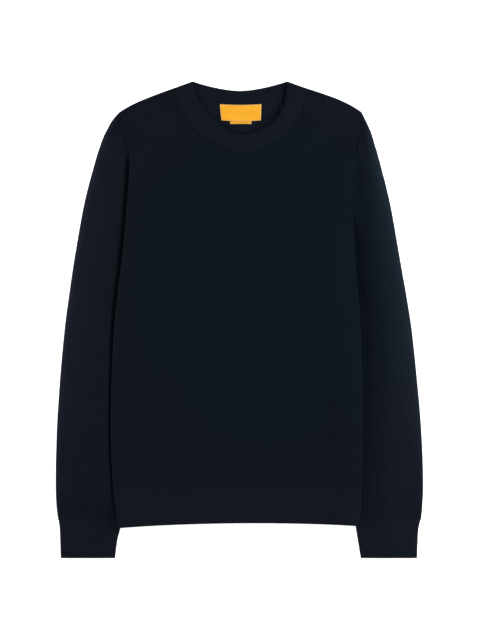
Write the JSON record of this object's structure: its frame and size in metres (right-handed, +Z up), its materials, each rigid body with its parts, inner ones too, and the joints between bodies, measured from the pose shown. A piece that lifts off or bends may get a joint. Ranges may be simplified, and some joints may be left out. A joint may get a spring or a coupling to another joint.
{
  "type": "ribbed sweater",
  "caption": "Long-sleeved crew-neck sweater in dark ribbed knit, laid flat on its back with the sleeves drawn down beside the body.",
  "frame": {"origin": "middle of the laid-out sweater's outline, on the surface that it lies on", "axes": "+X towards the wearer's left sleeve, +Y towards the neck, +Z up from the surface, out of the front"},
  "size_m": [0.5772, 0.7486, 0.0111],
  "materials": {
    "knit": "matte rib knit",
    "trim": "matte close rib knit",
    "label": "smooth woven tape"
  },
  "bodies": {
    "root": {"front": "knit", "back": "knit", "hem_front": "trim", "hem_back": "trim", "sleeve_right": "knit", "sleeve_left": "knit", "cuff_right": "trim", "cuff_left": "trim", "neckband": "trim", "neck_label": "label", "size_tab": "label"}
  },
  "joints": []
}
